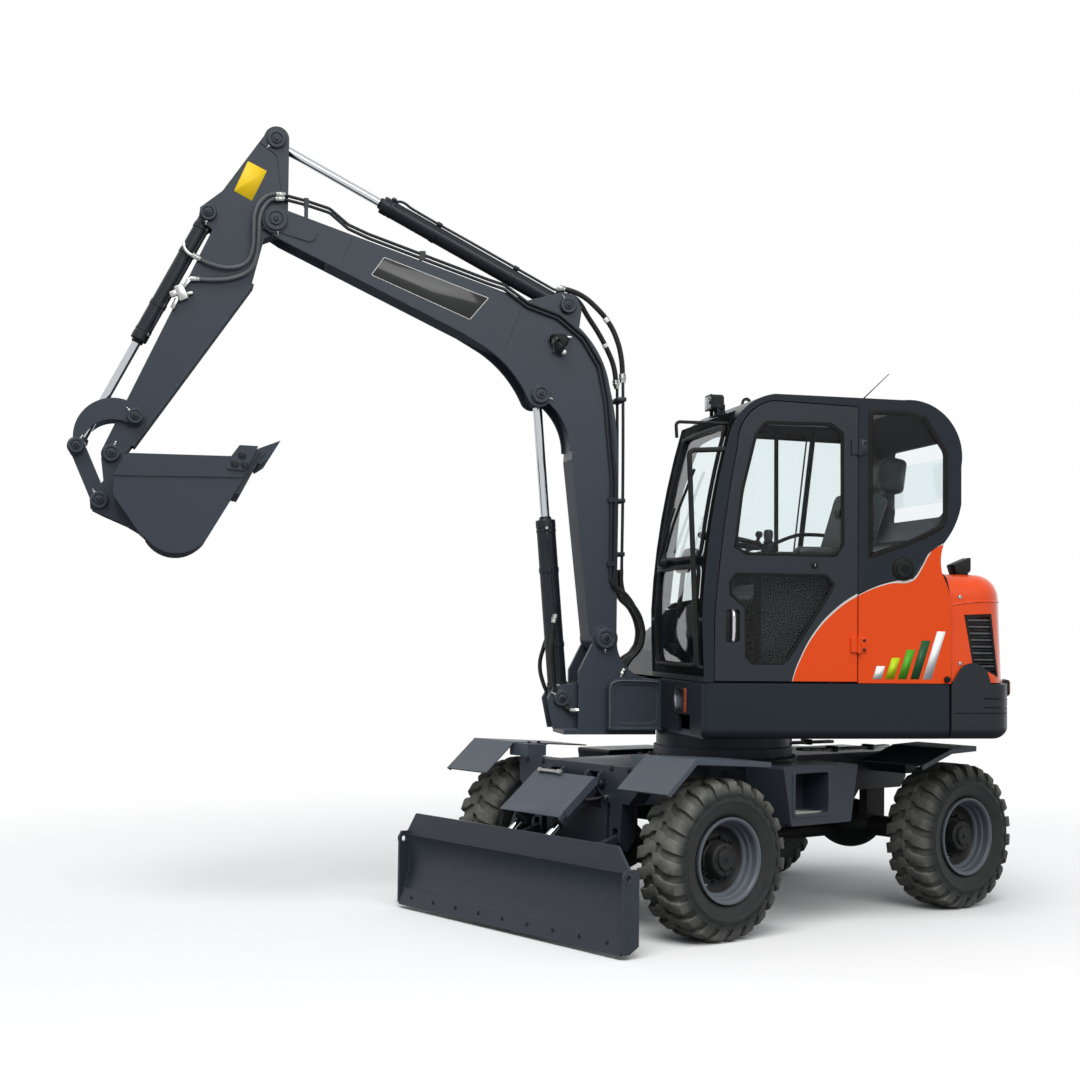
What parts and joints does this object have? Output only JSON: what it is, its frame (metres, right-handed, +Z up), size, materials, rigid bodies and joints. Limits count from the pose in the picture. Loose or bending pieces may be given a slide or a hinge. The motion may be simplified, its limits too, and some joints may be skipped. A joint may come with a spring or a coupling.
{
  "type": "wheeled excavator",
  "caption": "Compact wheeled excavator with cab, slewing upper structure, one-piece boom, arm, bucket and front dozer blade, jointed at every working pivot.",
  "frame": {"origin": "on the ground, under the slewing axis", "axes": "+X the way the boom points, +Y towards the cab's side, +Z up"},
  "size_m": [5.4665, 3.0622, 4.383],
  "materials": {
    "body_paint": "slate grey gloss enamel",
    "chassis_paint": "slate grey enamel",
    "accent_paint": "orange gloss enamel",
    "counterweight_paint": "dark grey enamel on cast iron",
    "axle_paint": "black enamel",
    "rim_paint": "dark grey enamel",
    "tyre": "dusty black rubber",
    "chrome": "hard chrome, ground",
    "cab_glass": "tinted safety glass",
    "black_plastic": "grained moulded plastic",
    "seat_fabric": "woven seat cloth",
    "seat_frame": "black powder coat",
    "engine_iron": "sand-cast iron"
  },
  "bodies": {
    "undercarriage": {"chassis_frame": "chassis_paint", "swing_bearing": "chassis_paint", "front_axle": "axle_paint", "rear_axle": "axle_paint", "drive_line": "axle_paint", "front_fenders": "chassis_paint", "rear_fenders": "chassis_paint", "step_boxes": "chassis_paint"},
    "left_knuckle": {"left_knuckle": "axle_paint"},
    "right_knuckle": {"right_knuckle": "axle_paint"},
    "tie_rod": {"tie_rod": "axle_paint"},
    "front_left_wheel": {"front_left_tyre": "tyre", "front_left_rim": "rim_paint"},
    "front_right_wheel": {"front_right_tyre": "tyre", "front_right_rim": "rim_paint"},
    "rear_left_wheel": {"rear_left_tyre": "tyre", "rear_left_rim": "rim_paint"},
    "rear_right_wheel": {"rear_right_tyre": "tyre", "rear_right_rim": "rim_paint"},
    "blade": {"dozer_blade": "chassis_paint", "blade_arms": "chassis_paint"},
    "blade_cylinder_barrel": {"blade_cylinder_barrels": "chassis_paint", "blade_cover": "chassis_paint"},
    "blade_cylinder_rod": {"blade_cylinder_rods": "chrome"},
    "upper": {"upper_frame": "body_paint", "boom_bracket": "body_paint", "left_skirt": "body_paint", "right_skirt": "body_paint", "counterweight": "counterweight_paint", "engine_block": "engine_iron", "left_side_panel": "accent_paint", "right_cover": "body_paint", "cab_shell": "body_paint", "cab_glass": "cab_glass", "seat_base": "seat_frame", "seat_cushion": "seat_fabric", "seat_backrest": "seat_fabric", "control_consoles": "black_plastic", "steering_column": "black_plastic", "cab_fittings": "black_plastic"},
    "hood": {"engine_hood": "accent_paint", "hood_grilles": "black_plastic"},
    "door": {"cab_door": "body_paint", "door_glass": "cab_glass"},
    "boom": {"boom": "body_paint", "boom_pipes": "axle_paint"},
    "boom_cylinder_barrel": {"boom_cylinder_barrel": "body_paint"},
    "boom_cylinder_rod": {"boom_cylinder_rod": "chrome"},
    "arm_cylinder_barrel": {"arm_cylinder_barrel": "body_paint"},
    "arm_cylinder_rod": {"arm_cylinder_rod": "chrome"},
    "arm": {"arm": "body_paint"},
    "bucket_cylinder_barrel": {"bucket_cylinder_barrel": "body_paint"},
    "bucket_cylinder_rod": {"bucket_cylinder_rod": "chrome"},
    "guide_link": {"guide_link": "body_paint"},
    "push_link": {"push_link": "body_paint"},
    "bucket": {"bucket": "body_paint"}
  },
  "joints": [
    {"name": "swing", "type": "hinge", "parent": "undercarriage", "child": "upper", "pos_m": [0, 0, 0], "axis": [0, 0, 1], "continuous": true},
    {"name": "cab_door", "type": "hinge", "parent": "upper", "child": "door", "pos_m": [-0.463, 0.933, 2], "axis": [0, 0, 1], "range_deg": [0, 165]},
    {"name": "engine_hood", "type": "hinge", "parent": "upper", "child": "hood", "pos_m": [-1.006, 0, 1.905], "axis": [0, 1, 0], "range_deg": [0, 40]},
    {"name": "boom_lift", "type": "hinge", "parent": "upper", "child": "boom", "pos_m": [0.717, -0.12, 1.532], "axis": [0, -1, 0], "range_deg": [-97, 6]},
    {"name": "boom_cylinder_tilt", "type": "hinge", "parent": "upper", "child": "boom_cylinder_barrel", "pos_m": [0.955, -0.12, 1.187], "axis": [0, -1, 0], "range_deg": [-97, 7]},
    {"name": "boom_cylinder_slide", "type": "slide", "parent": "boom_cylinder_barrel", "child": "boom_cylinder_rod", "axis": [0.0859, 0, 0.9963], "range_m": [-0.635, 0.045]},
    {"name": "arm_fold", "type": "hinge", "parent": "boom", "child": "arm", "pos_m": [2.629, -0.12, 3.847], "axis": [0, 1, 0], "range_deg": [-64, 40]},
    {"name": "arm_cylinder_tilt", "type": "hinge", "parent": "boom", "child": "arm_cylinder_barrel", "pos_m": [0.943, -0.12, 3.454], "axis": [0, 1, 0], "range_deg": [-4.5, 3]},
    {"name": "arm_cylinder_slide", "type": "slide", "parent": "arm_cylinder_barrel", "child": "arm_cylinder_rod", "axis": [0.8925, 0, 0.451], "range_m": [-0.455, 0.285]},
    {"name": "bucket_curl", "type": "hinge", "parent": "arm", "child": "bucket", "pos_m": [3.491, -0.12, 2.509], "axis": [0, 1, 0], "range_deg": [-160, 5]},
    {"name": "guide_link_swing", "type": "hinge", "parent": "arm", "child": "guide_link", "pos_m": [3.369, -0.12, 2.717], "axis": [0, 1, 0], "range_deg": [-116, 5]},
    {"name": "push_link_swing", "type": "hinge", "parent": "guide_link", "child": "push_link", "pos_m": [3.677, -0.12, 2.547], "axis": [0, 1, 0], "range_deg": [-3, 70]},
    {"name": "bucket_cylinder_tilt", "type": "hinge", "parent": "arm", "child": "bucket_cylinder_barrel", "pos_m": [3, -0.12, 3.871], "axis": [0, 1, 0], "range_deg": [-1, 1]},
    {"name": "bucket_cylinder_slide", "type": "slide", "parent": "bucket_cylinder_barrel", "child": "bucket_cylinder_rod", "axis": [0.4553, 0, -0.8904], "range_m": [-0.6, 0.022]},
    {"name": "blade_lift", "type": "hinge", "parent": "undercarriage", "child": "blade", "pos_m": [0.9478, 0.47462, 0.47], "axis": [0.4478, -0.8942, 0], "range_deg": [-20, 27]},
    {"name": "blade_cylinder_tilt", "type": "hinge", "parent": "undercarriage", "child": "blade_cylinder_barrel", "pos_m": [0.98357, 0.49253, 0.765], "axis": [0.4478, -0.8942, 0], "range_deg": [-16, 21.5]},
    {"name": "blade_cylinder_slide", "type": "slide", "parent": "blade_cylinder_barrel", "child": "blade_cylinder_rod", "axis": [0.694, 0.3475, -0.6306], "range_m": [-0.135, 0.1]},
    {"name": "steer_left", "type": "hinge", "parent": "undercarriage", "child": "left_knuckle", "pos_m": [0.47931, 0.89427, 0.415], "axis": [0, 0, 1], "range_deg": [-28, 28]},
    {"name": "steer_right", "type": "hinge", "parent": "undercarriage", "child": "right_knuckle", "pos_m": [1.00319, -0.15189, 0.415], "axis": [0, 0, 1], "range_deg": [-28.5, 28.5]},
    {"name": "tie_rod_slide", "type": "slide", "parent": "undercarriage", "child": "tie_rod", "axis": [-0.4478, 0.8942, 0], "range_m": [-0.083, 0.083]},
    {"name": "front_left_spin", "type": "hinge", "parent": "left_knuckle", "child": "front_left_wheel", "pos_m": [0.39424, 1.06416, 0.415], "axis": [-0.4478, 0.8942, 0], "continuous": true},
    {"name": "front_right_spin", "type": "hinge", "parent": "right_knuckle", "child": "front_right_wheel", "pos_m": [1.08827, -0.32178, 0.415], "axis": [-0.4478, 0.8942, 0], "continuous": true},
    {"name": "rear_left_spin", "type": "hinge", "parent": "undercarriage", "child": "rear_left_wheel", "pos_m": [-1.31896, 0.20626, 0.415], "axis": [-0.4478, 0.8942, 0], "continuous": true},
    {"name": "rear_right_spin", "type": "hinge", "parent": "undercarriage", "child": "rear_right_wheel", "pos_m": [-0.62493, -1.17968, 0.415], "axis": [-0.4478, 0.8942, 0], "continuous": true}
  ],
  "couplings": [
    {"joint": "boom_cylinder_tilt", "follows": "boom_lift", "ratio": 0.9886},
    {"joint": "boom_cylinder_slide", "follows": "boom_lift", "m_per_rad": 0.3705},
    {"joint": "arm_cylinder_tilt", "follows": "arm_fold", "ratio": 0.065},
    {"joint": "arm_cylinder_slide", "follows": "arm_fold", "m_per_rad": 0.4},
    {"joint": "guide_link_swing", "follows": "bucket_curl", "ratio": 0.7104},
    {"joint": "push_link_swing", "follows": "bucket_curl", "ratio": -0.4229},
    {"joint": "bucket_cylinder_tilt", "follows": "bucket_curl", "ratio": -0.0035},
    {"joint": "bucket_cylinder_slide", "follows": "bucket_curl", "m_per_rad": 0.2109},
    {"joint": "blade_cylinder_tilt", "follows": "blade_lift", "ratio": 0.7647},
    {"joint": "blade_cylinder_slide", "follows": "blade_lift", "m_per_rad": -0.2757},
    {"joint": "steer_right", "follows": "steer_left", "ratio": 1},
    {"joint": "tie_rod_slide", "follows": "steer_left", "m_per_rad": -0.166}
  ]
}
